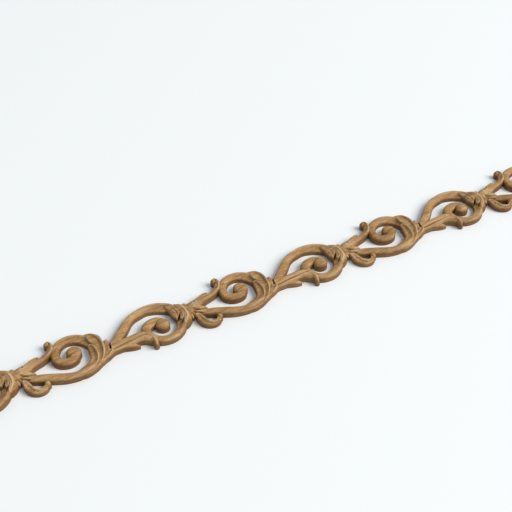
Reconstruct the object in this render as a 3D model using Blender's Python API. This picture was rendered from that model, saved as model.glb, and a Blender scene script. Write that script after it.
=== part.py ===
"""Openwork scroll moulding in oak.

A running pattern of C-scrolls and acanthus leaves, carved through a flat board. The back is flat and both ends
are cut square at a neck of the pattern, so that lengths butt together. Metres, +X along the run, +Y across it
towards the side the upper scrolls stand on, +Z out of the carved face, with the back on Z = 0.
"""

import math

import bmesh
import bpy
from mathutils import Vector

# The run
LENGTH = 0.640  # a whole number of repeats, so that the pattern carries on into the next length
REPEAT = 0.160  # one repeat of the pattern: a lower scroll and then an upper one
CUT = 0.505  # where in a repeat the ends are cut, at the neck before the upper scroll
MIDDLE = 0.005  # height of the line the two scrolls mirror about, in repeats
CENTRE = 0.0087  # middle of the pattern's width, in repeats
BOARD_THICKNESS = 0.010

# Carved heights above the back
RIM = 0.0055
INNER_RIM = 0.0046
WALL = 0.0050
CROWN = 0.0070
LEAF = 0.0084
RIDGE = 0.0092
CREST = BOARD_THICKNESS + 0.0002  # the highest crests keep a narrow land of the board's own face
TIP = 0.0045

# How a stroke is built
SPAN_STEPS = 2  # pieces between two stations
DEPTH_STEP = 0.0001  # each stroke starts this much further below the back, so that no two undersides meet

# The scroll's line, the same in both scrolls: along the run from its neck, up from the middle line and half
# its width, all in repeats
SCROLL = (
    (0.215, 0.122, 0.0235), (0.255, 0.128, 0.0235), (0.300, 0.121, 0.0265), (0.342, 0.104, 0.029),
    (0.388, 0.065, 0.0285), (0.406, -0.010, 0.027), (0.384, -0.075, 0.027), (0.340, -0.113, 0.025),
    (0.290, -0.125, 0.0225), (0.240, -0.110, 0.0235), (0.205, -0.067, 0.024), (0.199, -0.020, 0.027),
    (0.216, 0.008, 0.028), (0.250, 0.0215, 0.028), (0.284, 0.0175, 0.0255), (0.310, -0.004, 0.020),
)
EYE = (0.297, -0.018, 0.041)  # along, up from the middle line, radius
EYE_TOP = ((1.0, WALL), (0.72, CROWN), (0.30, LEAF))  # steps of its dome: share of the radius, height


def upper(stations):
    """Stations given in the scroll's own frame, placed in the upper scroll."""
    return [(x + 0.5, MIDDLE + y, half) for x, y, half in stations]


def lower(stations):
    """The same, mirrored about the middle line for the lower scroll."""
    return [(x, MIDDLE - y, half) for x, y, half in stations]


# Each stroke is one ribbon of carving: its stations in the repeat, its three heights (left edge, crown, right
# edge, walking along it), the same three at its far end, and where the crown stands between the edges
UPPER_STEM = upper([(-0.014, -0.037, 0.024), (0.049, 0.012, 0.027), (0.101, 0.059, 0.0265),
                    (0.137, 0.091, 0.0235), (0.172, 0.111, 0.0232)])
LOWER_STEM = [(-0.020, -0.012, 0.020), (0.050, -0.042, 0.024), (0.090, -0.058, 0.027),
              (0.157, -0.089, 0.028), (0.197, -0.108, 0.027)]
STROKES = {
    "upper scroll": (UPPER_STEM + upper(SCROLL), (RIM, CROWN, INNER_RIM), (RIM, CROWN, INNER_RIM), 0.35),
    "lower scroll": (LOWER_STEM + lower(SCROLL)[1:], (INNER_RIM, CROWN, RIM), (INNER_RIM, CROWN, RIM), -0.35),
    "leaf": ([(0.330, -0.112, 0.016), (0.380, -0.102, 0.020), (0.430, -0.078, 0.022), (0.470, -0.057, 0.0235),
              (0.510, -0.041, 0.0265), (0.570, -0.036, 0.031), (0.610, -0.036, 0.037), (0.650, -0.040, 0.042),
              (0.680, -0.062, 0.037), (0.699, -0.092, 0.024), (0.705, -0.120, 0.017), (0.701, -0.142, 0.011)],
             (WALL, CROWN, WALL), (WALL, LEAF, WALL), 0.1),
    "leaf's lower lobe": ([(0.545, -0.055, 0.014), (0.590, -0.074, 0.013), (0.626, -0.090, 0.006)],
                          (WALL, CROWN, WALL), (TIP, WALL, TIP), 0.0),
    "curled leaf": ([(-0.040, 0.030, 0.036), (0.000, 0.033, 0.036), (0.040, 0.043, 0.031), (0.080, 0.054, 0.026),
                     (0.130, 0.061, 0.020), (0.176, 0.086, 0.019), (0.196, 0.118, 0.020),
                     (0.194, 0.138, 0.018)],
                    (WALL, LEAF, WALL), (WALL, CROWN, WALL), 0.1),
    "curled leaf's upper lobe": ([(0.040, 0.055, 0.015), (0.080, 0.076, 0.014), (0.112, 0.094, 0.005)],
                                 (WALL, CROWN, WALL), (TIP, WALL, TIP), 0.0),
    "curled leaf's lower lobe": ([(0.000, 0.012, 0.014), (0.040, 0.006, 0.012), (0.070, 0.004, 0.006)],
                                 (WALL, LEAF, WALL), (TIP, WALL, TIP), 0.0),
    "bud": ([(-0.003, -0.035, 0.012), (0.004, -0.083, 0.0225), (0.021, -0.118, 0.020), (0.047, -0.135, 0.0135),
             (0.074, -0.132, 0.0125), (0.096, -0.110, 0.0165)],
            (WALL, RIM, WALL), (WALL, RIM, WALL), 0.0),
    "calyx, first lobe": ([(0.310, -0.118, 0.010), (0.350, -0.100, 0.018), (0.378, -0.070, 0.022),
                           (0.390, -0.030, 0.024), (0.390, 0.004, 0.021), (0.385, 0.028, 0.010)],
                          (WALL, RIM, CROWN), (RIM, CROWN, RIDGE), 0.1),
    "calyx, second lobe": ([(0.340, -0.118, 0.008), (0.383, -0.098, 0.013), (0.411, -0.062, 0.017),
                            (0.423, -0.016, 0.020), (0.431, 0.030, 0.029), (0.424, 0.065, 0.036),
                            (0.405, 0.096, 0.025), (0.391, 0.111, 0.010)],
                           (RIM, CROWN, CROWN), (WALL, LEAF, WALL), 0.0),
    "calyx, third lobe": ([(0.380, -0.110, 0.010), (0.420, -0.085, 0.014), (0.448, -0.045, 0.016),
                           (0.464, -0.005, 0.018), (0.474, 0.020, 0.014), (0.481, 0.034, 0.005)],
                          (CROWN, CROWN, CROWN), (WALL, CROWN, WALL), 0.0),
    "cluster": ([(0.895, 0.066, 0.032), (0.920, 0.040, 0.038), (0.932, 0.000, 0.036), (0.932, -0.042, 0.032),
                 (0.922, -0.074, 0.023), (0.906, -0.096, 0.009)],
                (CROWN, LEAF, RIDGE), (CROWN, CREST, CREST), -0.4),
    "cluster's side lobe": ([(0.880, 0.080, 0.020), (0.892, 0.045, 0.026), (0.892, 0.008, 0.021),
                             (0.885, -0.018, 0.009)],
                            (CROWN, LEAF, RIDGE), (WALL, LEAF, CROWN), -0.3),
    "sepal": ([(0.957, 0.048, 0.022), (0.972, 0.026, 0.022), (0.980, 0.000, 0.014), (0.984, -0.028, 0.004)],
              (CROWN, LEAF, WALL), (WALL, RIM, WALL), 0.0),
}
KNOB = (0.190, 0.148, 0.0185)  # along, up, radius of the curled leaf's end
KNOB_TOP = ((1.0, WALL), (0.6, CROWN))

# Round bosses: centre, radius, number of sides, steps of the top
BOSSES = [((x, y), radius, 12, EYE_TOP) for x, y, radius in upper([EYE]) + lower([EYE])]
BOSSES.append((KNOB[:2], KNOB[2], 10, KNOB_TOP))


def spline(stations):
    """Points of a Catmull-Rom curve through the stations, half width included."""
    points = [Vector(station) for station in stations]
    points = [points[0] * 2 - points[1]] + points + [points[-1] * 2 - points[-2]]
    line = []
    for before, start, end, after in zip(points, points[1:], points[2:], points[3:]):
        for step in range(SPAN_STEPS):
            t = step / SPAN_STEPS
            line.append(0.5 * (start * 2 + (end - before) * t
                               + (before * 2 - start * 5 + end * 4 - after) * t ** 2
                               + (start * 3 - before - end * 3 + after) * t ** 3))
    return line + [points[-2]]


def add_rings(mesh, rings):
    """A closed body through rings of the same number of points, the first and the last capped."""
    rows = [[mesh.verts.new(point) for point in ring] for ring in rings]
    for one, two in zip(rows, rows[1:]):
        for i in range(len(one)):
            mesh.faces.new((one[i - 1], one[i], two[i], two[i - 1]))
    mesh.faces.new(rows[0][::-1])
    mesh.faces.new(rows[-1])


def add_stroke(mesh, stations, start, end, lean, offset, depth):
    """One ribbon: a crowned or hollowed top between two edges, with upright sides."""
    line = spline(stations)
    rings = []
    for i, point in enumerate(line):
        share = i / (len(line) - 1)
        left, crown, right = (a + (b - a) * share for a, b in zip(start, end))
        ahead = line[min(i + 1, len(line) - 1)] - line[max(i - 1, 0)]
        side = Vector((-ahead.y, ahead.x)).normalized() * point.z
        centre = point.xy + Vector((offset, 0))
        places = ((1, -depth), (1, left), (lean, crown), (-1, right), (-1, -depth))
        rings.append([((centre + side * across) * REPEAT).to_3d() + Vector((0, 0, height))
                      for across, height in places])
    add_rings(mesh, rings)


def add_boss(mesh, boss, offset, depth):
    """A round boss whose top rises in steps of (share of the radius, height)."""
    (x, y), radius, sides, steps = boss
    rings = []
    for share, height in ((1.0, -depth),) + steps:
        turns = [2 * math.pi * side / sides for side in range(sides)]
        rings.append([((x + offset + radius * share * math.cos(turn)) * REPEAT,
                       (y + radius * share * math.sin(turn)) * REPEAT, height) for turn in turns])
    add_rings(mesh, rings)


def carving():
    """Every stroke and boss of the run as closed bodies in one mesh, running on past both ends."""
    mesh = bmesh.new()
    middle_of_run = CUT - 1 + LENGTH / REPEAT / 2
    for repeat in range(-1, math.ceil(LENGTH / REPEAT)):
        depth = DEPTH_STEP
        for stations, start, end, lean in STROKES.values():
            add_stroke(mesh, stations, start, end, lean, repeat - middle_of_run, depth)
            depth += DEPTH_STEP
        for boss in BOSSES:
            add_boss(mesh, boss, repeat - middle_of_run, depth)
            depth += DEPTH_STEP
    bmesh.ops.translate(mesh, verts=mesh.verts, vec=(0, -CENTRE * REPEAT, 0))
    bmesh.ops.recalc_face_normals(mesh, faces=mesh.faces)
    return mesh


def new_object(name, mesh):
    """A scene object from a bmesh, which is used up."""
    data = bpy.data.meshes.new(name)
    mesh.to_mesh(data)
    mesh.free()
    made = bpy.data.objects.new(name, data)
    bpy.context.collection.objects.link(made)
    return made


def board():
    """The board the moulding is carved from, wider than the pattern: its back is Z = 0 and its ends are square."""
    mesh = bmesh.new()
    bmesh.ops.create_cube(mesh, size=1)
    bmesh.ops.scale(mesh, verts=mesh.verts, vec=(LENGTH, REPEAT, BOARD_THICKNESS))
    bmesh.ops.translate(mesh, verts=mesh.verts, vec=(0, 0, BOARD_THICKNESS / 2))
    return new_object("board", mesh)


def oak():
    """Oiled oak."""
    material = bpy.data.materials.new("oak")
    material.use_nodes = True
    shader = material.node_tree.nodes["Principled BSDF"]
    shader.inputs["Base Color"].default_value = (0.34, 0.19, 0.095, 1)
    shader.inputs["Roughness"].default_value = 0.62
    shader.inputs["Metallic"].default_value = 0
    return material


def main():
    for old in list(bpy.data.objects):
        bpy.data.objects.remove(old)
    moulding = new_object("moulding", carving())
    moulding.data.materials.append(oak())
    stock = board()
    stock.hide_render = True
    stock.display_type = "WIRE"
    cut = moulding.modifiers.new("cut from the board", "BOOLEAN")
    cut.operation = "INTERSECT"
    cut.solver = "EXACT"
    cut.use_self = True
    cut.object = stock


main()
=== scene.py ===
"""Openwork scroll moulding in oak: the carved run, its oiled finish and the table it lies on.

Metres, in the frame's own axes: +X along the run, +Y across it, +Z out of the carved face, the back on Z = 0.
"""
import math

import bpy
import numpy as np
from mathutils import Matrix, Vector


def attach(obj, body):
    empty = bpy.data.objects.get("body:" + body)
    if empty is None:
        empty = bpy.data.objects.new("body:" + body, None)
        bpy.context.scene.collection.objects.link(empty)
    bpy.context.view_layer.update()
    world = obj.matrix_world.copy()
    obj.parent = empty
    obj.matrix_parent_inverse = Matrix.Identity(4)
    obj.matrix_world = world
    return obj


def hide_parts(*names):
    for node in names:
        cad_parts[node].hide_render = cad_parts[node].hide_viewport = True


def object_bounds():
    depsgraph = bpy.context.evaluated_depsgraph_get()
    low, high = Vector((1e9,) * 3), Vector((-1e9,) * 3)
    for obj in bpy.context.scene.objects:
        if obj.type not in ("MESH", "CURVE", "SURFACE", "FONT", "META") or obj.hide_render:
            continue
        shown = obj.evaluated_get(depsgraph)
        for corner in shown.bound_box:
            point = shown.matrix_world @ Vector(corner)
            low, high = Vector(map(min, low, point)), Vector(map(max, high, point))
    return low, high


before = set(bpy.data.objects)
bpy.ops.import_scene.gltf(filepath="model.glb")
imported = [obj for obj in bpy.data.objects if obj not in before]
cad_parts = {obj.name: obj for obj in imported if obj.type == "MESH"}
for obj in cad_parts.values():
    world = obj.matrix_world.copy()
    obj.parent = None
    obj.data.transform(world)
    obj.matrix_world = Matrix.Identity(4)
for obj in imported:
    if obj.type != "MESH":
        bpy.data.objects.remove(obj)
cad_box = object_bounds()
bpy.ops.object.select_all(action="DESELECT")

# The run
REPEAT = 0.160  # one repeat of the pattern
COPIES = round((cad_box[1][0] - cad_box[0][0]) / REPEAT)
BOARD = cad_box[1][2]  # the board's thickness
CUT = 0.505  # where in a repeat the ends are cut
MIDDLE = 0.005  # the line that the two scrolls mirror about, in repeats
CENTRE = 0.0087  # middle of the pattern's width, in repeats
OVERLAP = 0.06  # how far past its two ends a repeat is carved before it is cut square, in repeats

# How finely a stroke is carved
STEP = 0.0085  # spacing of the rows along a stroke, in repeats
COLUMN = 0.0038  # spacing of the columns across it, in repeats
FEWEST_COLUMNS = 6
EDGE_COLUMNS = np.array([1, 0.985, 0.94])  # the closer columns at an edge, as shares of the half width
INNER_COLUMNS = 0.88  # where the even columns start
EDGE = (0.12, 0.55)  # the usual rounded edge: share of the half width, fall in mm
STEM_EDGE = (0.26, 1.6)  # the same on the scrolls and stems
LEAF_EDGE = (0.22, 1.1)  # and on the leaves' lobes
RAMP = 5  # a gouge cut comes to its full depth over one fifth of its length
TIP_REACH = 1.1  # how far from its tip a round end starts to close, in half widths
TIP_WIDTH = 0.1414  # how far it closes, as a share of the half width
SKIRT = 20  # how far in mm a stroke reaches down before the back is planed off
SMOOTH_ANGLE = math.radians(38)  # edges sharper than this stay crisp
SEAM_REACH = 2e-6  # what is this near to where two repeats meet lies on their seam
SEAM_WELD = 3e-5  # seam points this near to each other become one

# How the bosses and the cutters are made
BOSS_SIDES = 48
BOSS_RINGS = 12
DRILL_SIDES = 20
DRILL_START = 12  # mm above the back, clear of all carving
DRILL_TIP, DRILL_SHANK = 0.12, 0.9  # radii at the point and at the start, as shares of the eye's width
NOTCH_STEP = 0.004  # spacing of the rows along a V-cut, in repeats
# a V-cut's section: across in half widths, share of the rise
NOTCH_SECTION = ((1, 1), (0.35, 0.25), (0, 0), (-0.35, 0.25), (-1, 1))
NOTCH_TOP = 11  # mm above the back that a V-cut's sides climb towards
NOTCH_RISE = 0.75  # the share of that climb that they make within the half width
NOTCH_HEAD = 12  # mm that a V-cut's cutter stands above its own section

# The scroll's line, from its neck: along, up from the middle line, half width, all in repeats
SCROLL = [(0.215, 0.122, 0.0235), (0.255, 0.128, 0.0235), (0.300, 0.121, 0.0265), (0.342, 0.104, 0.029),
          (0.388, 0.065, 0.0285), (0.406, -0.010, 0.027), (0.384, -0.075, 0.027), (0.340, -0.113, 0.025),
          (0.290, -0.125, 0.0225), (0.240, -0.110, 0.0235), (0.205, -0.067, 0.024), (0.199, -0.020, 0.027),
          (0.216, 0.008, 0.028), (0.250, 0.0215, 0.028), (0.284, 0.0175, 0.0255), (0.310, -0.004, 0.020)]
SCROLL_EYE = (0.297, -0.018, 0.041)  # along, up from the middle line, radius


def upper(stations):
    """Stations given in the scroll's own frame, placed in the upper scroll."""
    return [(x + 0.5, MIDDLE + y, half) for x, y, half in stations]


def lower(stations):
    """The same, mirrored about the middle line for the lower scroll."""
    return [(x, MIDDLE - y, half) for x, y, half in stations]


# The strokes, each with
# line: its stations, as in the scroll's line
# sections: its cross-sections, each (station, heights in mm from the left edge to the right one)
# cuts: its gouge cuts, each (first station, last station, across at the first, across at the last,
#       half width as a share of the stroke's, depth in mm, V or U)
# edge: how its edges are rounded, where not as usual (share of the half width, fall in mm)
# round_end: for a round far end, how far in mm that falls
# skirt: how deep in mm it is, where it stands over an edge
STROKES = {
    "upper scroll": dict(
        line=upper([(-0.014, -0.037, 0.024), (0.049, 0.012, 0.027), (0.101, 0.059, 0.0265),
                    (0.137, 0.091, 0.0235), (0.172, 0.111, 0.0232)] + SCROLL),
        edge=STEM_EDGE,
        sections=[(0, (5.6, 7.0, 7.2, 6.8, 5.4)), (3, (5.8, 7.3, 7.2, 6.6, 5.2)),
                  (5, (5.8, 7.6, 7.0, 5.8, 5.0)), (7, (5.8, 7.8, 6.4, 4.9, 4.7)),
                  (9, (5.8, 7.6, 5.8, 4.5, 4.4)), (11, (5.6, 7.2, 6.2, 5.0, 4.6)),
                  (12, (5.6, 7.1, 7.0, 6.3, 5.0)), (14, (5.6, 7.0, 7.2, 6.7, 5.3)),
                  (20, (5.6, 7.0, 7.2, 6.8, 5.4))],
        cuts=[(0.4, 6.0, -0.05, 0.1, 0.07, 0.45, "V"), (1.2, 5.0, 0.5, 0.5, 0.06, 0.35, "V"),
              (0.8, 4.2, -0.55, -0.5, 0.06, 0.3, "V"), (11.5, 15.5, 0.35, 0.3, 0.06, 0.3, "V"),
              (12.2, 19.0, -0.2, -0.3, 0.06, 0.3, "V")]),
    "lower scroll": dict(
        line=[(-0.034, -0.006, 0.007), (-0.004, -0.018, 0.0135), (0.048, -0.0415, 0.0235),
              (0.090, -0.058, 0.027), (0.157, -0.089, 0.028), (0.197, -0.108, 0.027)] + lower(SCROLL)[1:],
        edge=STEM_EDGE,
        sections=[(0, (3.6, 4.6, 5.0, 4.8, 3.8)), (1, (4.8, 6.2, 6.6, 6.4, 5.2)),
                  (4, (5.0, 6.4, 7.1, 7.2, 5.8)), (7, (4.8, 5.8, 6.9, 7.3, 5.8)),
                  (9, (4.4, 4.7, 5.8, 7.0, 5.8)), (11, (4.4, 4.7, 6.0, 7.4, 5.8)),
                  (13, (4.8, 5.6, 6.9, 7.4, 5.8)), (15, (5.2, 6.6, 7.2, 7.1, 5.6)),
                  (20, (5.4, 6.8, 7.2, 7.0, 5.6))],
        cuts=[(3.2, 8, 0.1, 0.25, 0.09, 0.6, "U"), (4.0, 8.4, -0.30, -0.05, 0.09, 0.6, "U"),
              (4.8, 8.6, -0.66, -0.35, 0.09, 0.55, "U"), (1.4, 3.6, -0.3, -0.2, 0.07, 0.35, "V"),
              (11.4, 16.0, -0.05, 0.1, 0.06, 0.4, "V"), (12.0, 15.0, -0.5, -0.45, 0.06, 0.35, "V"),
              (15.6, 19.6, -0.35, -0.3, 0.06, 0.3, "V")]),
    "neck": dict(
        line=[(0.258, -0.133, 0.008), (0.300, -0.129, 0.020), (0.345, -0.115, 0.0235),
              (0.390, -0.093, 0.0235), (0.430, -0.074, 0.0225), (0.470, -0.057, 0.0235),
              (0.510, -0.042, 0.026), (0.560, -0.036, 0.0265), (0.600, -0.038, 0.018)],
        edge=STEM_EDGE,
        sections=[(0, (3.6, 4.8, 5.2, 4.8, 3.6)), (1, (4.8, 6.0, 6.2, 5.8, 4.6)),
                  (3, (5.0, 6.4, 6.8, 6.4, 5.0)), (5, (5.2, 6.9, 7.3, 6.9, 5.3)),
                  (8, (4.4, 5.8, 6.0, 5.8, 4.4))],
        cuts=[(0.6, 7.0, 0.35, 0.15, 0.10, 0.6, "V"), (1.0, 7.2, -0.1, -0.2, 0.12, 0.7, "U"),
              (1.6, 7.0, -0.55, -0.5, 0.10, 0.6, "U")]),
    "leaf, upper lobe": dict(
        line=[(0.455, -0.052, 0.012), (0.510, -0.038, 0.0205), (0.560, -0.033, 0.0225),
              (0.610, -0.0305, 0.0225), (0.648, -0.0278, 0.023), (0.675, -0.0305, 0.0185),
              (0.693, -0.0365, 0.0105)],
        edge=LEAF_EDGE,
        sections=[(0, (5.0, 6.4, 7.2, 7.2, 6.8)), (2, (5.4, 7.4, 8.2, 8.3, 7.4)),
                  (5, (5.4, 7.2, 7.9, 8.0, 7.2)), (6, (5.0, 6.2, 6.8, 6.8, 6.2))],
        cuts=[(0.8, 5.6, 0.42, 0.35, 0.10, 0.6, "U"), (1.2, 5.4, 0.0, -0.05, 0.10, 0.6, "U"),
              (1.6, 5.2, -0.45, -0.45, 0.10, 0.5, "U")]),
    "leaf, lower lobe": dict(
        line=[(0.480, -0.066, 0.008), (0.520, -0.064, 0.0095), (0.560, -0.063, 0.011),
              (0.600, -0.0615, 0.0125), (0.635, -0.060, 0.012), (0.662, -0.0635, 0.016),
              (0.685, -0.078, 0.017), (0.6995, -0.096, 0.0135), (0.706, -0.110, 0.009),
              (0.707, -0.120, 0.005)],
        edge=LEAF_EDGE,
        sections=[(0, (5.4, 6.4, 6.6, 6.2, 5.0)), (3, (6.8, 7.6, 7.6, 7.0, 5.2)),
                  (5, (7.4, 8.5, 8.2, 7.4, 5.4)), (7, (6.4, 8.2, 8.0, 7.2, 5.8)),
                  (9, (4.8, 6.2, 6.8, 6.4, 5.2))],
        cuts=[(2.2, 8.0, 0.42, 0.4, 0.10, 0.5, "U"), (2.6, 8.0, 0.0, 0.0, 0.10, 0.55, "U"),
              (3.2, 7.6, -0.45, -0.4, 0.10, 0.5, "U")],
        round_end=1.2),
    "leaf, turned tip": dict(
        line=[(0.699, -0.070, 0.006), (0.711, -0.090, 0.0115), (0.7135, -0.110, 0.015),
              (0.709, -0.127, 0.0155), (0.7025, -0.143, 0.014)],
        edge=(0.3, 1.0),
        sections=[(0, (5.4, 7.2, 8.0, 8.0, 7.6)), (1, (5.0, 7.8, 9.0, 9.0, 8.0)),
                  (2, (4.6, 7.8, 9.3, 9.0, 7.2)), (3, (4.0, 7.4, 9.0, 8.4, 6.2)),
                  (4, (2.8, 5.8, 7.2, 6.4, 4.2))],
        round_end=1.4),
    "leaf, small lobe": dict(
        line=[(0.535, -0.056, 0.014), (0.575, -0.069, 0.015), (0.604, -0.081, 0.0125),
              (0.630, -0.0915, 0.004)],
        edge=LEAF_EDGE,
        sections=[(0, (5.0, 6.8, 7.2, 6.8, 5.0)), (1, (5.4, 7.0, 7.2, 6.4, 4.6)),
                  (2, (4.8, 6.2, 6.4, 5.6, 4.0)), (3, (3.2, 3.6, 3.6, 3.4, 3.0))],
        cuts=[(0, 2.7, 0.05, 0.0, 0.18, 0.6, "U")]),
    "curled leaf": dict(
        line=[(-0.048, 0.026, 0.030), (0.000, 0.033, 0.036), (0.040, 0.043, 0.031), (0.080, 0.054, 0.026),
              (0.130, 0.061, 0.020), (0.176, 0.086, 0.019), (0.196, 0.118, 0.0185), (0.197, 0.140, 0.016),
              (0.189, 0.155, 0.012)],
        edge=STEM_EDGE,
        sections=[(0, (4.6, 5.8, 6.2, 5.8, 4.4)), (1, (5.0, 7.4, 8.4, 7.8, 5.4)),
                  (2, (5.0, 7.4, 8.4, 7.8, 5.4)), (4, (5.0, 6.8, 7.6, 7.8, 6.4)),
                  (5, (5.0, 6.2, 7.0, 8.2, 7.4)), (7, (5.0, 6.2, 7.2, 8.2, 7.0)),
                  (8, (5.0, 6.0, 6.8, 7.4, 5.8))],
        cuts=[(0.2, 5.0, 0.15, 0.15, 0.08, 0.7, "V"), (0.8, 3.6, 0.52, 0.5, 0.08, 0.55, "U"),
              (0.5, 4.2, -0.2, -0.15, 0.08, 0.6, "U"), (0.8, 3.4, -0.55, -0.5, 0.08, 0.5, "U")]),
    "curled leaf, upper lobe": dict(
        line=[(0.030, 0.053, 0.013), (0.070, 0.070, 0.016), (0.096, 0.084, 0.012), (0.118, 0.0955, 0.004)],
        edge=LEAF_EDGE,
        sections=[(0, (5.0, 6.6, 7.2, 6.8, 5.4)), (1, (5.0, 6.8, 7.6, 7.2, 5.6)),
                  (2, (4.4, 5.8, 6.6, 6.4, 5.2)), (3, (3.2, 3.6, 3.8, 3.6, 3.4))],
        cuts=[(0, 2.7, 0.0, 0.0, 0.18, 0.6, "U")]),
    "curled leaf, lower lobe": dict(
        line=[(-0.026, 0.026, 0.010), (0.002, 0.010, 0.018), (0.028, -0.0025, 0.0175),
              (0.050, -0.0075, 0.012), (0.071, -0.011, 0.004)],
        edge=LEAF_EDGE,
        sections=[(0, (5.0, 6.2, 6.6, 6.2, 4.8)), (1, (5.6, 7.0, 7.4, 6.8, 5.0)),
                  (2, (5.6, 7.0, 7.4, 6.6, 4.8)), (3, (5.0, 6.2, 6.6, 6.0, 4.4)),
                  (4, (3.4, 3.8, 4.0, 3.8, 3.2))],
        cuts=[(0.3, 3.6, 0.15, 0.05, 0.16, 0.6, "U"), (0.4, 2.4, -0.45, -0.4, 0.12, 0.45, "U")]),
    "bud": dict(
        line=[(-0.004, -0.032, 0.014), (0.001, -0.078, 0.020), (0.013, -0.114, 0.017),
              (0.041, -0.1365, 0.012), (0.072, -0.135, 0.011), (0.097, -0.111, 0.0155)],
        edge=STEM_EDGE,
        sections=[(0, (5.6, 6.6, 6.4, 6.2, 5.0)), (1, (7.2, 6.6, 5.6, 6.0, 5.4)),
                  (2, (7.4, 6.6, 5.2, 5.8, 5.2)), (4, (6.8, 6.4, 5.6, 5.8, 5.2)),
                  (5, (5.8, 6.4, 6.6, 6.2, 5.2))],
        round_end=1.2),
    "calyx, first lobe": dict(
        line=[(0.300, -0.114, 0.006), (0.342, -0.097, 0.015), (0.374, -0.069, 0.020),
              (0.387, -0.030, 0.020), (0.390, 0.003, 0.0195), (0.384, 0.026, 0.015)],
        sections=[(0, (4.6, 5.4, 5.6, 5.6, 5.0)), (1, (5.2, 6.0, 6.0, 6.4, 6.6)),
                  (3, (5.8, 6.4, 6.2, 7.0, 7.8)), (5, (5.8, 7.0, 7.2, 7.8, 7.6))],
        round_end=1.2),
    "calyx, first ridge": dict(
        line=[(0.376, 0.019, 0.003), (0.383, 0.0265, 0.0055), (0.394, 0.0235, 0.007), (0.402, 0.004, 0.008),
              (0.4045, -0.026, 0.0085), (0.401, -0.058, 0.008), (0.389, -0.087, 0.007),
              (0.368, -0.108, 0.006), (0.335, -0.1255, 0.004)],
        sections=[(0, (5.8, 6.4, 6.2)), (1, (6.6, 7.8, 7.0)), (3, (7.0, 8.9, 7.4)), (5, (6.6, 8.8, 7.2)),
                  (7, (5.8, 7.2, 6.2)), (8, (4.6, 5.4, 5.0))]),
    "calyx, second lobe": dict(
        line=[(0.330, -0.122, 0.006), (0.375, -0.103, 0.012), (0.409, -0.065, 0.018),
              (0.424, -0.016, 0.0215), (0.430, 0.028, 0.0285), (0.425, 0.062, 0.0335),
              (0.408, 0.093, 0.025), (0.389, 0.111, 0.011)],
        sections=[(0, (4.6, 5.4, 5.8, 5.8, 5.2)), (2, (6.2, 6.6, 6.4, 7.0, 7.8)),
                  (4, (7.6, 7.6, 7.2, 7.2, 7.4)), (6, (7.4, 8.0, 7.6, 7.2, 5.8)),
                  (7, (5.6, 6.6, 6.6, 6.2, 5.0))]),
    "calyx, second ridge": dict(
        line=[(0.384, 0.1145, 0.004), (0.404, 0.105, 0.007), (0.424, 0.091, 0.0085), (0.440, 0.068, 0.0095),
              (0.4495, 0.034, 0.0095), (0.450, 0.000, 0.0095), (0.444, -0.034, 0.0095),
              (0.431, -0.066, 0.0085), (0.411, -0.095, 0.0075), (0.382, -0.117, 0.006),
              (0.345, -0.134, 0.004)],
        sections=[(0, (5.4, 6.2, 5.4)), (2, (7.0, 8.6, 6.8)), (4, (7.0, 9.4, 7.4)), (6, (6.8, 9.2, 7.4)),
                  (9, (5.6, 6.8, 5.8)), (10, (4.4, 5.2, 4.4))]),
    "calyx, third lobe": dict(
        line=[(0.375, -0.112, 0.008), (0.418, -0.089, 0.015), (0.447, -0.049, 0.018),
              (0.464, -0.009, 0.020), (0.475, 0.016, 0.0145), (0.483, 0.034, 0.004)],
        sections=[(0, (4.8, 5.4, 5.8, 5.6, 5.0)), (1, (6.0, 6.6, 6.6, 6.8, 6.4)),
                  (2, (6.4, 7.0, 6.8, 7.2, 6.6)), (4, (6.0, 6.8, 7.4, 6.6, 5.6)),
                  (5, (4.0, 4.6, 5.0, 4.6, 4.0))],
        cuts=[(0.6, 4.0, 0.35, 0.4, 0.14, 0.5, "U"), (1.0, 4.2, -0.3, -0.3, 0.14, 0.5, "U")]),
    "calyx, third ridge": dict(
        line=[(0.487, -0.052, 0.004), (0.482, -0.064, 0.007), (0.469, -0.075, 0.0075),
              (0.449, -0.086, 0.007), (0.425, -0.096, 0.0055), (0.395, -0.109, 0.004)],
        sections=[(0, (5.8, 6.4, 5.8)), (1, (6.2, 8.2, 6.4)), (3, (6.0, 7.8, 5.8)), (5, (4.6, 5.6, 4.6))]),
    "cluster": dict(
        line=[(0.902, 0.080, 0.018), (0.929, 0.046, 0.0305), (0.939, 0.006, 0.0335),
              (0.9365, -0.028, 0.0315), (0.9235, -0.053, 0.025), (0.908, -0.071, 0.017),
              (0.8975, -0.081, 0.010)],
        sections=[(0, (5.0, 6.8, 7.2, 6.8, 5.0)), (1, (5.6, 8.6, 9.2, 8.4, 6.6)),
                  (2, (3.0, 7.6, 9.8, 9.0, 7.4)), (4, (1.6, 6.4, 9.6, 8.8, 6.8)),
                  (5, (1.4, 5.2, 8.4, 7.8, 5.8)), (6, (1.4, 4.2, 6.6, 6.2, 4.8))],
        cuts=[(0.8, 4.8, 0.62, 0.62, 0.10, 0.5, "U"), (0.5, 5.2, -0.12, -0.05, 0.10, 0.8, "V"),
              (1.4, 4.8, -0.55, -0.50, 0.11, 0.6, "U")],
        round_end=0.8),
    "cluster, middle lobe": dict(
        line=[(0.914, 0.062, 0.010), (0.9185, 0.030, 0.0175), (0.9165, -0.002, 0.020),
              (0.9105, -0.026, 0.0165), (0.902, -0.043, 0.009)],
        sections=[(0, (6.2, 7.2, 7.8, 7.4, 6.4)), (1, (7.6, 8.8, 8.8, 8.2, 7.0)),
                  (2, (8.4, 9.3, 8.8, 8.0, 7.0)), (3, (8.2, 9.1, 8.8, 8.2, 7.2)),
                  (4, (7.4, 8.2, 8.4, 8.0, 7.0))],
        cuts=[(0.8, 3.8, -0.1, -0.05, 0.16, 0.6, "U")],
        round_end=0.3),
    "cluster, side lobe": dict(
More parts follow.
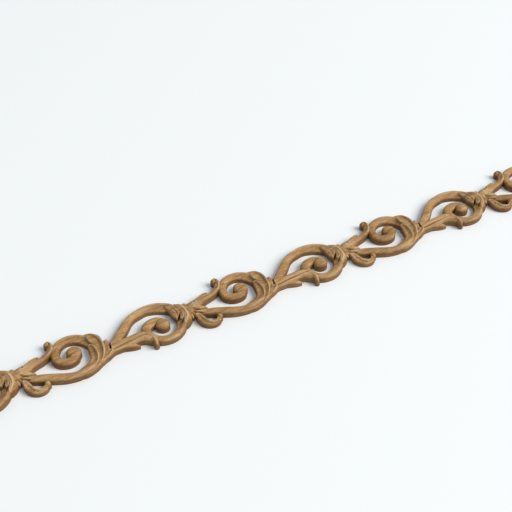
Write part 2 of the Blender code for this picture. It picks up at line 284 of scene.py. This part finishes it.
        line=[(0.855, 0.108, 0.008), (0.876, 0.078, 0.0175), (0.887, 0.046, 0.0235), (0.889, 0.014, 0.0255),
              (0.8835, -0.007, 0.0195), (0.876, -0.021, 0.011)],
        sections=[(0, (4.6, 5.8, 6.2, 5.6, 4.6)), (1, (6.0, 7.0, 7.4, 7.2, 5.8)),
                  (2, (7.6, 8.2, 8.0, 7.8, 6.4)), (3, (9.0, 8.7, 8.1, 7.8, 6.6)),
                  (4, (9.0, 8.6, 8.0, 7.8, 6.8)), (5, (8.2, 8.4, 8.2, 7.8, 7.0))],
        cuts=[(0.8, 4.6, 0.2, 0.2, 0.13, 0.6, "U"), (1.2, 4.4, -0.38, -0.32, 0.12, 0.5, "U")],
        round_end=0.3,
        skirt=4.0),
    "sepal": dict(
        line=[(0.950, 0.060, 0.022), (0.966, 0.036, 0.024), (0.977, 0.008, 0.0175), (0.984, -0.018, 0.011),
              (0.986, -0.036, 0.004)],
        sections=[(0, (5.4, 6.8, 7.4, 7.6, 6.6)), (2, (5.2, 6.6, 7.2, 7.0, 5.8)),
                  (3, (4.6, 5.6, 6.0, 5.8, 5.0)), (4, (3.8, 4.2, 4.4, 4.2, 4.0))],
        cuts=[(0.5, 3.4, 0.1, 0.1, 0.16, 0.6, "U")]),
    "second sepal": dict(
        line=[(0.950, 0.014, 0.014), (0.959, -0.010, 0.016), (0.966, -0.029, 0.0115),
              (0.971, -0.045, 0.004)],
        sections=[(0, (5.6, 6.6, 7.2, 7.0, 6.0)), (2, (5.0, 6.0, 6.4, 6.0, 5.0)),
                  (3, (3.6, 4.0, 4.2, 4.0, 3.6))],
        cuts=[(0.2, 2.6, 0.0, 0.0, 0.16, 0.5, "U")]),
}

# Round bosses: centre and radius in repeats, heights in mm from the rim to the middle
BOSSES = [(*upper([SCROLL_EYE])[0], (5.0, 6.8, 7.6, 8.1, 8.3, 8.4)),
          (0.2965, 0.0265, 0.042, (5.2, 6.8, 7.3, 7.4, 7.4, 7.4)),
          (0.190, 0.147, 0.0185, (4.8, 6.4, 7.2, 7.6, 7.8)),
          (0.098, -0.108, 0.0175, (4.8, 6.2, 7.0, 7.4, 7.5))]

# Drilled eyes: centre in repeats, width in mm, depth reached above the back in mm
EYES = [(0.8775, 0.027, 1.8, 4.6), (0.9715, 0.042, 1.7, 4.4), (1.0182, 0.045, 1.7, 5.0),
        (0.548, 0.022, 1.2, 5.0), (0.003, -0.079, 2.0, 3.6), (0.036, -0.134, 1.8, 2.8),
        (0.188, 0.131, 1.7, 3.6), (0.096, -0.109, 1.2, 5.0), (0.477, -0.047, 1.9, 1.0)]

# V-cuts between lobes: points of (along, across, height of the bottom in mm, half width)
NOTCHES = {
    "calyx and upper stem": [(0.490, 0.018, 3.0, 0.004), (0.487, -0.008, 3.4, 0.006),
                             (0.4815, -0.030, 3.0, 0.007), (0.477, -0.046, 2.4, 0.007),
                             (0.476, -0.056, 5.0, 0.003)],
    "cluster's side and middle lobes": [(0.878, -0.033, 4.6, 0.006), (0.887, -0.024, 3.0, 0.0105),
                                        (0.899, -0.011, 3.6, 0.009), (0.911, 0.004, 7.4, 0.003)],
    "cluster's middle lobe and tip": [(0.891, -0.061, 5.0, 0.005), (0.899, -0.052, 3.6, 0.0095),
                                      (0.908, -0.043, 5.6, 0.006), (0.913, -0.036, 8.0, 0.002)],
    "cluster's edge, first": [(0.978, -0.078, 3.4, 0.009), (0.965, -0.070, 4.2, 0.007),
                              (0.952, -0.062, 8.0, 0.001)],
    "cluster's edge, second": [(0.958, -0.100, 3.4, 0.008), (0.946, -0.090, 4.4, 0.006),
                               (0.934, -0.080, 8.0, 0.001)],
    "beside the upper scroll's eye": [(0.742, -0.022, 3.0, 0.003), (0.757, -0.006, 3.4, 0.007),
                                      (0.768, 0.003, 4.6, 0.006), (0.780, 0.011, 7.0, 0.003)],
    "beside the lower scroll's eye": [(0.243, 0.030, 3.4, 0.004), (0.252, 0.014, 3.4, 0.008),
                                      (0.268, 0.010, 4.4, 0.007), (0.286, 0.013, 6.2, 0.004),
                                      (0.330, 0.028, 7.0, 0.002)],
    "between the leaf's lobes": [(0.470, -0.060, 6.4, 0.002), (0.505, -0.0575, 5.4, 0.004),
                                 (0.560, -0.0545, 4.6, 0.005), (0.628, -0.053, 4.6, 0.006),
                                 (0.676, -0.052, 5.0, 0.006), (0.694, -0.053, 6.4, 0.003)],
    "between the sepals": [(0.964, 0.002, 7.6, 0.002), (0.971, -0.014, 4.2, 0.005),
                           (0.977, -0.032, 3.0, 0.006), (0.981, -0.050, 3.0, 0.006),
                           (0.983, -0.066, 3.6, 0.005)],
    "above the lower stem's start": [(-0.010, 0.011, 5.6, 0.004), (0.000, 0.000, 3.0, 0.007),
                                     (0.012, -0.010, 2.4, 0.008), (0.026, -0.017, 2.6, 0.0075),
                                     (0.042, -0.0175, 3.6, 0.005), (0.058, -0.015, 5.6, 0.003)],
    "below the lower stem's start": [(-0.018, -0.010, 5.0, 0.004), (-0.008, -0.022, 2.8, 0.007),
                                     (0.004, -0.032, 2.2, 0.008), (0.016, -0.040, 2.4, 0.0075),
                                     (0.030, -0.048, 3.2, 0.005)],
    "beside the knob": [(0.187, 0.130, 4.6, 0.006), (0.197, 0.134, 5.6, 0.004), (0.203, 0.143, 7.2, 0.002)],
}


def mm(length):
    """Millimetres as metres."""
    return length / 1000


def to_run(x, y):
    """A place in the pattern, in repeats, as metres in the frame."""
    return (x - CUT - COPIES / 2) * REPEAT, (y - CENTRE) * REPEAT


def smooth_line(stations, step):
    """Points of a Catmull-Rom curve through the stations, about a step apart, and the station each is at."""
    p = np.array(stations, float)
    p = np.vstack([2 * p[0] - p[1], p, 2 * p[-1] - p[-2]])
    points, places = [], []
    for i in range(1, len(p) - 2):
        a, b, c, d = p[i - 1:i + 3]
        pieces = max(2, math.ceil(np.hypot(*(c - b)[:2]) / step))
        for j in range(pieces):
            t = j / pieces
            points.append(0.5 * (2 * b + (c - a) * t + (2 * a - 5 * b + 4 * c - d) * t ** 2
                                 + (3 * b - a - 3 * c + d) * t ** 3))
            places.append(i - 1 + t)
    return np.array(points + [p[-2]]), np.array(places + [len(stations) - 1.0])


def sideways(line):
    """The direction to the left of a line at each of its points."""
    ahead = np.gradient(line[:, :2], axis=0)
    ahead /= np.linalg.norm(ahead, axis=1)[:, None]
    return np.stack([-ahead[:, 1], ahead[:, 0]], 1)


def fair(knots, at):
    """Heights at the given places, 0 to 1, through evenly spaced knots, with no overshoot between them."""
    knots = np.asarray(knots, float)
    rise = np.diff(knots)
    slope = np.zeros(len(knots))
    steady = rise[:-1] * rise[1:] > 0
    slope[1:-1][steady] = 2 * rise[:-1][steady] * rise[1:][steady] / (rise[:-1] + rise[1:])[steady]
    slope[0], slope[-1] = rise[0], rise[-1]
    x = np.clip(at, 0, 1) * (len(knots) - 1)
    i = np.minimum(x.astype(int), len(knots) - 2)
    t = x - i
    return (knots[i] * (2 * t ** 3 - 3 * t ** 2 + 1) + knots[i + 1] * (3 * t ** 2 - 2 * t ** 3)
            + slope[i] * (t ** 3 - 2 * t ** 2 + t) + slope[i + 1] * (t ** 3 - t ** 2))


def columns(half):
    """Places across a stroke, from its left edge to its right: close together at the rounded edges."""
    inner = max(FEWEST_COLUMNS, round(2 * half / COLUMN))
    even = np.linspace(INNER_COLUMNS, -INNER_COLUMNS, inner + 1)
    return np.concatenate([EDGE_COLUMNS, even, -EDGE_COLUMNS[::-1]])


def relief(stroke, places, across):
    """Heights in mm over a stroke, one row for each place along it."""
    stations = [station for station, _ in stroke["sections"]]
    knots = np.array([heights for _, heights in stroke["sections"]], float)
    rows = []
    for place in places:
        section = [np.interp(place, stations, knots[:, i]) for i in range(knots.shape[1])]
        rows.append(fair(section, (1 - across) / 2))
    heights = np.array(rows)
    for first, last, start, end, wide, deep, kind in stroke.get("cuts", ()):
        share = (places - first) / (last - first)
        middle = start + (end - start) * np.clip(share, 0, 1)
        fade = np.clip(np.minimum(share, 1 - share) * RAMP, 0, 1)
        off = np.abs(across[None] - middle[:, None]) / wide
        shape = np.clip(1 - (off if kind == "V" else off ** 2), 0, 1)
        heights -= deep * fade[:, None] * shape
    share, fall = stroke.get("edge", EDGE)
    edge = np.clip((1 - np.abs(across)) / share, 0, 1)
    return heights - fall * (1 - np.sqrt(1 - (1 - edge) ** 2))[None]


def face_outwards():
    """Turns all faces of the body in edit mode outwards, and leaves edit mode."""
    bpy.ops.mesh.select_all(action="SELECT")
    bpy.ops.mesh.normals_make_consistent(inside=False)
    bpy.ops.object.mode_set(mode="OBJECT")


def sheet(name, points, reach):
    """A grid primitive laid over rows of points, then extruded up or down by its reach to a closed body."""
    rows, cols = points.shape[:2]
    bpy.ops.mesh.primitive_grid_add(x_subdivisions=cols - 1, y_subdivisions=rows - 1, size=1)
    body = bpy.context.object
    body.name = name
    body.data.vertices.foreach_set("co", points.reshape(-1))
    bpy.ops.object.mode_set(mode="EDIT")
    bpy.ops.mesh.select_all(action="SELECT")
    bpy.ops.mesh.extrude_region_move(TRANSFORM_OT_translate={"value": (0, 0, reach)})
    face_outwards()
    return body


def pick(piece, kind, wanted):
    """Opens a piece in edit mode with only those of its faces or vertices selected that are wanted."""
    bpy.ops.object.select_all(action="DESELECT")
    bpy.context.view_layer.objects.active = piece
    piece.select_set(True)
    bpy.ops.object.mode_set(mode="EDIT")
    bpy.ops.mesh.select_mode(type=kind)
    bpy.ops.mesh.select_all(action="DESELECT")
    bpy.ops.object.mode_set(mode="OBJECT")
    for item in (piece.data.polygons if kind == "FACE" else piece.data.vertices):
        item.select = wanted(item)
    bpy.ops.object.mode_set(mode="EDIT")


def apply_place(body):
    """Puts a body's place and size into its mesh."""
    bpy.ops.object.transform_apply(location=True, rotation=False, scale=True)
    return body


def carve(name, stroke, shift):
    """One stroke as a closed body."""
    line, places = smooth_line(stroke["line"], STEP)
    side = sideways(line)
    half = line[:, 2].copy()
    across = columns(half.max())
    heights = relief(stroke, places, across)
    if "round_end" in stroke:
        far = np.linalg.norm(line[:, :2] - line[-1, :2], axis=1)
        near = np.clip(1 - far / (TIP_REACH * half[-1]), 0, 1)
        half *= np.maximum(np.sqrt(1 - near ** 2), TIP_WIDTH)
        heights -= (stroke["round_end"] * near ** 2)[:, None]
    x = line[:, :1] + shift + side[:, :1] * half[:, None] * across
    y = line[:, 1:2] + side[:, 1:] * half[:, None] * across
    x, y = to_run(x, y)
    return sheet(name, np.stack([x, y, mm(heights)], 2), -mm(stroke.get("skirt", SKIRT)))


def boss(x, y, radius, heights, shift):
    """A round boss, domed by its heights from rim to middle: a cylinder's top face inset ring by ring."""
    x, y = to_run(x + shift, y)
    radius *= REPEAT
    levels = fair(heights, np.arange(BOSS_RINGS) / BOSS_RINGS)
    bpy.ops.mesh.primitive_cylinder_add(vertices=BOSS_SIDES, radius=radius, depth=mm(SKIRT + levels[0]),
                                        location=(x, y, mm(levels[0] - SKIRT) / 2))
    body = apply_place(bpy.context.object)
    pick(body, "FACE", lambda face: face.normal.z > 0.5)
    for low, high in zip(levels, levels[1:]):
        bpy.ops.mesh.inset(thickness=radius / BOSS_RINGS, depth=mm(high - low))
    bpy.ops.object.mode_set(mode="OBJECT")
    return body


def drill(x, y, wide, bottom, shift):
    """A cutter for a drilled eye: a cone standing on its point."""
    x, y = to_run(x + shift, y)
    bpy.ops.mesh.primitive_cone_add(vertices=DRILL_SIDES, radius1=mm(DRILL_TIP * wide),
                                    radius2=mm(DRILL_SHANK * wide), depth=mm(DRILL_START - bottom),
                                    location=(x, y, mm(DRILL_START + bottom) / 2))
    return apply_place(bpy.context.object)


def vee(points, shift):
    """A cutter for a V-cut: columns along its line, the middle one down at the bottom of the cut."""
    line, _ = smooth_line([(x, y, half) for x, y, _, half in points], NOTCH_STEP)
    side = sideways(line)
    depths = [bottom for _, _, bottom, _ in points]
    bottom = np.interp(np.linspace(0, 1, len(line)), np.linspace(0, 1, len(points)), depths)
    cols = []
    for across, rise in NOTCH_SECTION:
        spot = line[:, :2] + side * line[:, 2:] * across
        x, y = to_run(spot[:, 0] + shift, spot[:, 1])
        cols.append(np.stack([x, y, mm(bottom + rise * NOTCH_RISE * (NOTCH_TOP - bottom))], 1))
    return sheet("v_cut", np.stack(cols, 1), mm(NOTCH_HEAD))


def boolean(target, tool, operation):
    """Applies one Boolean and takes the tool away."""
    cut = target.modifiers.new("cut", "BOOLEAN")
    cut.operation = operation
    cut.solver = "MANIFOLD"
    cut.object = tool
    with bpy.context.temp_override(object=target, active_object=target, selected_objects=[target]):
        bpy.ops.object.modifier_apply(modifier="cut")
    bpy.data.objects.remove(tool)


def reaches(places, shift):
    """Whether something at these places along the run reaches into the repeat that is built."""
    return max(places) + shift > CUT - OVERLAP and min(places) + shift < CUT + 1 + OVERLAP


def one_repeat():
    """One whole repeat of the carving, from one neck to the next, cut square at both."""
    bodies = []
    for shift in (0, 1):
        for name, stroke in STROKES.items():
            if reaches([station[0] for station in stroke["line"]], shift):
                bodies.append(carve(name, stroke, shift))
        bodies += [boss(*place, shift) for place in BOSSES if reaches(place[:1], shift)]
    whole = bodies[0]
    for body in bodies[1:]:
        boolean(whole, body, "UNION")
    for shift in (0, 1):
        for eye in EYES:
            if reaches(eye[:1], shift):
                boolean(whole, drill(*eye, shift), "DIFFERENCE")
        for points in NOTCHES.values():
            if reaches([point[0] for point in points], shift):
                boolean(whole, vee(points, shift), "DIFFERENCE")
    x, y = to_run(CUT + 0.5, CENTRE)
    bpy.ops.mesh.primitive_cube_add(size=1, location=(x, y, BOARD / 2), scale=(REPEAT, REPEAT, BOARD))
    boolean(whole, apply_place(bpy.context.object), "INTERSECT")
    whole.name = "carved_moulding"
    return whole


def lay_end_to_end(whole):
    """Copies of the repeat laid end to end and made one: the cuts between them go, the outer two stay."""
    seams = [to_run(CUT, 0)[0] + i * REPEAT for i in range(1, COPIES)]
    copies = [whole]
    for i in range(1, COPIES):
        copy = whole.copy()
        copy.data = whole.data.copy()
        bpy.context.collection.objects.link(copy)
        copy.data.transform(Matrix.Translation((i * REPEAT, 0, 0)))
        copies.append(copy)
    for copy in copies:
        pick(copy, "FACE", lambda face: abs(face.normal.x) > 0.999
             and any(abs(face.center.x - x) < SEAM_REACH for x in seams))
        bpy.ops.mesh.delete(type="ONLY_FACE")
        bpy.ops.object.mode_set(mode="OBJECT")
    for copy in copies:
        copy.select_set(True)
    bpy.context.view_layer.objects.active = whole
    bpy.ops.object.join()
    pick(whole, "VERT", lambda vertex: any(abs(vertex.co.x - x) < SEAM_REACH for x in seams))
    bpy.ops.mesh.remove_doubles(threshold=SEAM_WELD)
    bpy.ops.object.mode_set(mode="OBJECT")
    bpy.ops.object.shade_smooth_by_angle(angle=SMOOTH_ANGLE)
    return whole


def spread(grid, reach):
    """A grid blurred by three passes of a running mean along both ways."""
    size = 2 * reach + 1
    for _ in range(3):
        for axis in (0, 1):
            margin = [(0, 0), (0, 0)]
            margin[axis] = (reach + 1, reach)
            total = np.cumsum(np.pad(grid, margin, "edge"), axis)
            high = np.take(total, range(size, total.shape[axis]), axis)
            low = np.take(total, range(total.shape[axis] - size), axis)
            grid = (high - low) / size
    return grid


def note_relief(piece):
    """Keeps, at every vertex, how far in mm it stands above (or lies below) the carving around it."""
    cell, near, wide, most = 0.0005, 2, 5, 3  # cell in metres, two reaches in cells, limit in mm
    data = piece.data
    spots = np.empty(len(data.vertices) * 3)
    facing = np.empty(len(data.vertices) * 3)
    data.vertices.foreach_get("co", spots)
    data.vertices.foreach_get("normal", facing)
    spots, facing = spots.reshape(-1, 3), facing.reshape(-1, 3)
    place = ((spots[:, :2] - spots[:, :2].min(0)) / cell).astype(int)
    top = facing[:, 2] > 0.3
    size = place.max(0) + 1
    heights, weight = np.zeros(size), np.zeros(size)
    np.add.at(heights, tuple(place[top].T), spots[top, 2] * 1000)
    np.add.at(weight, tuple(place[top].T), 1.0)
    levels = [spread(heights, reach) / np.maximum(spread(weight, reach), 1e-6) for reach in (near, wide)]
    around = sum(levels) / 2
    stands = spots[:, 2] * 1000 - around[tuple(place.T)]
    mark = data.attributes.new("relief", "FLOAT", "POINT")
    mark.data.foreach_set("value", np.clip(stands, -most, most))


class Socket:
    """A shader socket that adds Math nodes when it is used in an expression."""

    def __init__(self, tree, socket):
        self.tree, self.socket = tree, socket

    def node(self, kind, settings=None, **inputs):
        """Any other node: its type, its settings, then its sockets, by name or as i and a number."""
        made = self.tree.nodes.new(kind)
        for key, value in (settings or {}).items():
            setattr(made, key, value)
        for key, value in inputs.items():
            spot = made.inputs[int(key[1:]) if key[1:].isdigit() else key.replace("_", " ")]
            if isinstance(value, Socket):
                self.tree.links.new(value.socket, spot)
            else:
                spot.default_value = value
        return made

    def maths(self, operation, one, two):
        """One Math node on two sockets or values."""
        made = self.node("ShaderNodeMath", {"operation": operation}, i0=one, i1=two)
        return Socket(self.tree, made.outputs[0])

    def __add__(self, other):
        return self.maths("ADD", self, other)

    def __sub__(self, other):
        return self.maths("SUBTRACT", self, other)

    def __rsub__(self, other):
        return self.maths("SUBTRACT", other, self)

    def __mul__(self, other):
        return self.maths("MULTIPLY", self, other)

    __radd__, __rmul__ = __add__, __mul__

    def band(self, low, high):
        """0 below low, 1 above high, smooth between."""
        made = self.node("ShaderNodeMapRange", {"interpolation_type": "SMOOTHSTEP"},
                         Value=self, From_Min=low, From_Max=high)
        return Socket(self.tree, made.outputs["Result"])

    def along_the_run(self, share):
        """This vector with the run's own way drawn out: the grain."""
        made = self.node("ShaderNodeMapping", Vector=self, Scale=(share, 1.0, 1.0))
        return Socket(self.tree, made.outputs["Vector"])

    def noise(self, scale, detail, rough=0.5, distortion=0.0):
        """Noise at this vector, as one value."""
        made = self.node("ShaderNodeTexNoise", Vector=self, Scale=scale, Detail=detail, Roughness=rough,
                         Distortion=distortion)
        return Socket(self.tree, made.outputs["Fac"])

    def mixed(self, one, two):
        """Colour one where this is 0, colour two where it is 1."""
        made = self.node("ShaderNodeMix", {"data_type": "RGBA"}, Factor=self, i6=one, i7=two)
        return Socket(self.tree, made.outputs[2])


# The finish, with painted shade and highlight: colours as linear red, green, blue and alpha
DARK_GRAIN = (0.235, 0.110, 0.030, 1)
LIGHT_GRAIN = (0.520, 0.328, 0.140, 1)
PORE = (0.11, 0.045, 0.012, 1)
# pale ridges: painted highlight, partly the real wear of the crests
RIDGE_HIGHLIGHT_AND_WEAR = (0.66, 0.51, 0.32, 1)
# dark recesses: painted shade, partly real dirt
RECESS_SHADE_AND_DIRT = (0.10, 0.038, 0.008, 1)
WHITE_TABLE = (0.838, 0.876, 0.894, 1)


def oak():
    """Oak with a thin oil finish: grain along the run, small dark pores, ridges paled by painted highlight
    and some wear, recesses darkened by painted shade and some dirt.
    """
    material = bpy.data.materials.new("oiled_oak")
    material.use_nodes = True
    tree = material.node_tree
    shader = tree.nodes["Principled BSDF"]
    place = Socket(tree, tree.nodes.new("ShaderNodeTexCoord").outputs["Object"])
    mark = tree.nodes.new("ShaderNodeAttribute")
    mark.attribute_name = "relief"
    stands = Socket(tree, mark.outputs["Fac"])
    bands = place.along_the_run(0.09).noise(scale=230, detail=4, rough=0.6, distortion=0.8)
    streaks = place.along_the_run(0.05).noise(scale=1000, detail=3, rough=0.6, distortion=0.3)
    drift = place.noise(scale=20, detail=2)
    pores = place.along_the_run(0.06).noise(scale=3600, detail=1).band(0.60, 0.70)
    tone = (bands * 0.56 + streaks * 0.46 + drift * 0.26 - 0.14).band(0.34, 0.70)
    colour = tone.mixed(DARK_GRAIN, LIGHT_GRAIN)
    colour = (pores * 0.4).mixed(colour, PORE)
    # Ridges that stand above the carving around them are paled: painted highlight, partly wear.
    colour = (stands.band(0.15, 1.3) * 0.45).mixed(colour, RIDGE_HIGHLIGHT_AND_WEAR)
    # Hollows below the carving around them are darkened: painted shade, partly dirt.
    colour = ((0 - stands).band(0.1, 2.2) * 0.70).mixed(colour, RECESS_SHADE_AND_DIRT)
    tree.links.new(colour.socket, shader.inputs["Base Color"])
    roughness = 0.58 + 0.14 * streaks - 0.05 * drift
    tree.links.new(roughness.socket, shader.inputs["Roughness"])
    height = 1 - pores * 0.7 - streaks * 0.4
    bump = height.node("ShaderNodeBump", Height=height, Strength=0.4, Distance=0.0002)
    tree.links.new(bump.outputs["Normal"], shader.inputs["Normal"])
    shader.inputs["Specular IOR Level"].default_value = 0.4
    return material


def white_paint():
    """The table's matt white."""
    material = bpy.data.materials.new("white_table")
    material.use_nodes = True
    shader = material.node_tree.nodes["Principled BSDF"]
    shader.inputs["Base Color"].default_value = WHITE_TABLE
    shader.inputs["Roughness"].default_value = 0.6
    return material


# The table, the light and the camera
TABLE_SIZE = 12
TABLE_GAP = 0.0002  # between the table and the moulding's back
DAYLIGHT = (0.94, 0.97, 1.0, 1)
DAYLIGHT_STRENGTH = 0.50
WINDOW_PLACE = (6.50, -4.8, 7.45)
WINDOW_SIZE = 6.7
WINDOW_POWER = 1260  # watts
WINDOW_COLOUR = (1.0, 0.97, 0.93)
LOOKS_AT = (0.0036, 0.0396, 0)  # the point of the table that the camera faces
LOOKS_FROM = 1.036  # how far from it the camera stands
HEADING = math.radians(28.837)  # from +Y towards +X
TILT = math.radians(43.002)  # down from the level
ROLL = math.radians(-0.063)
FOCAL_LENGTH = 1109  # pixels
SHIFT = (-0.5, -1.5)  # pixels
PHOTO_SIDE = 512  # pixels
SENSOR = 36  # mm


def table():
    """The plain pale table, just clear of the moulding's back."""
    bpy.ops.mesh.primitive_plane_add(size=TABLE_SIZE, location=(0, 0, -TABLE_GAP))
    floor = bpy.context.object
    floor.name = "table"
    floor.data.materials.append(white_paint())


def studio():
    """Even daylight from all round, and one large soft window high on the right."""
    world = bpy.data.worlds.new("daylight")
    bpy.context.scene.world = world
    world.use_nodes = True
    sky = world.node_tree.nodes["Background"]
    sky.inputs["Color"].default_value = DAYLIGHT
    sky.inputs["Strength"].default_value = DAYLIGHT_STRENGTH
    lamp = bpy.data.lights.new("window", "AREA")
    lamp.shape, lamp.size, lamp.energy, lamp.color = "SQUARE", WINDOW_SIZE, WINDOW_POWER, WINDOW_COLOUR
    window = bpy.data.objects.new("window", lamp)
    bpy.context.collection.objects.link(window)
    window.location = WINDOW_PLACE
    window.rotation_euler = (-Vector(WINDOW_PLACE)).to_track_quat("-Z", "Y").to_euler()
    bpy.context.scene.view_settings.view_transform = "Standard"


def camera():
    """The photograph's own view: above the near left end, looking down along the run."""
    level = Vector((math.sin(HEADING), math.cos(HEADING), 0))
    ahead = level * math.cos(TILT) - Vector((0, 0, math.sin(TILT)))
    right = Vector((level.y, -level.x, 0))
    up = right.cross(ahead)
    right, up = right * math.cos(ROLL) + up * math.sin(ROLL), up * math.cos(ROLL) - right * math.sin(ROLL)
    data = bpy.data.cameras.new("camera")
    data.sensor_width = SENSOR
    data.lens = FOCAL_LENGTH / PHOTO_SIDE * SENSOR
    data.shift_x, data.shift_y = (shift / PHOTO_SIDE for shift in SHIFT)
    data.clip_start, data.clip_end = 0.01, 50
    made = bpy.data.objects.new("camera", data)
    bpy.context.collection.objects.link(made)
    pose = Matrix((right, up, -ahead)).transposed().to_4x4()
    pose.translation = Vector(LOOKS_AT) - ahead * LOOKS_FROM
    made.matrix_world = pose
    bpy.context.scene.camera = made


moulding = lay_end_to_end(one_repeat())
note_relief(moulding)
moulding.data.materials.clear()
moulding.data.materials.append(oak())
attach(moulding, "root")
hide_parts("moulding")
table()
studio()
camera()
